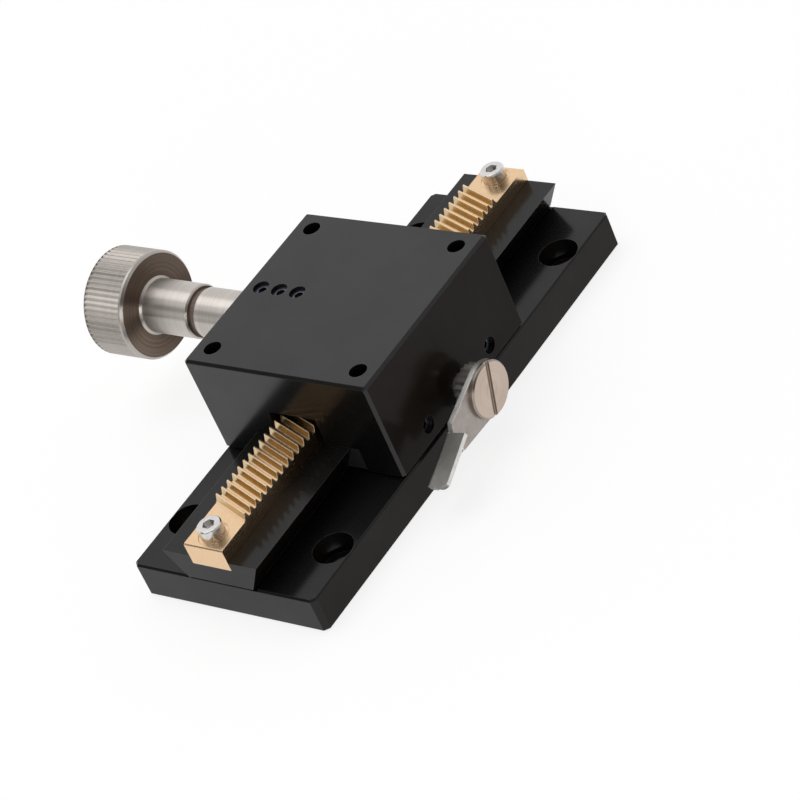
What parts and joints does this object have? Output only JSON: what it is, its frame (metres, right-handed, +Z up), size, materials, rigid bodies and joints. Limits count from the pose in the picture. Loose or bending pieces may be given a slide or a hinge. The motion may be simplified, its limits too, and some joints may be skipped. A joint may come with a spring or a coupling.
{
  "type": "linear translation stage",
  "caption": "Dovetail translation stage: a block slides along a dovetail rail, driven by a knurled knob through rack and pinion, and is held by a side clamp lever.",
  "frame": {"origin": "centre of the base rail's underside", "axes": "+Z up out of the rail, +Y along the travel, +X towards the clamp lever, -X towards the knob"},
  "size_m": [0.0836, 0.1, 0.0296],
  "materials": {
    "black_anodised": "black anodised, semi-gloss",
    "black_steel": "black oxide",
    "rack_brass": "machined, bright",
    "stainless": "bright turned",
    "satin_steel": "satin turned",
    "bronze": "sintered, dull",
    "black_nylon": "matte",
    "nickel": "nickel plated",
    "champagne_nickel": "nickel plated, warm satin"
  },
  "bodies": {
    "base": {"base_rail": "black_anodised", "rack": "rack_brass", "rack_screws": "stainless"},
    "stage": {"stage_block": "black_anodised", "gib": "black_steel", "gib_screws": "black_steel", "sleeve_screws": "black_steel", "bearing_sleeve": "satin_steel", "outer_bush": "bronze", "inner_bush": "bronze", "end_bush": "bronze", "thrust_washer": "black_nylon", "clamp_plug": "bronze"},
    "drive": {"drive_shaft": "stainless", "pinion": "stainless", "pinion_pin": "stainless", "shaft_clip": "stainless", "knob": "satin_steel", "knob_screw": "black_steel"},
    "clamp": {"clamp_stud": "nickel", "clamp_lever": "nickel", "lever_screw": "champagne_nickel"}
  },
  "joints": [
    {"name": "stage_slide", "type": "slide", "parent": "base", "child": "stage", "axis": [0, 1, 0], "range_m": [-0.0294, 0.0306]},
    {"name": "knob_spin", "type": "hinge", "parent": "stage", "child": "drive", "pos_m": [-0.0445, -0.0006, 0.01958], "axis": [1, 0, 0], "range_deg": [-551, 530]},
    {"name": "clamp_swing", "type": "hinge", "parent": "stage", "child": "clamp", "pos_m": [0.0249, -0.0006, 0.0108], "axis": [1, 0, 0], "range_deg": [-75, 6]}
  ],
  "couplings": [
    {"joint": "knob_spin", "follows": "stage_slide", "rad_per_m": -314.16}
  ]
}
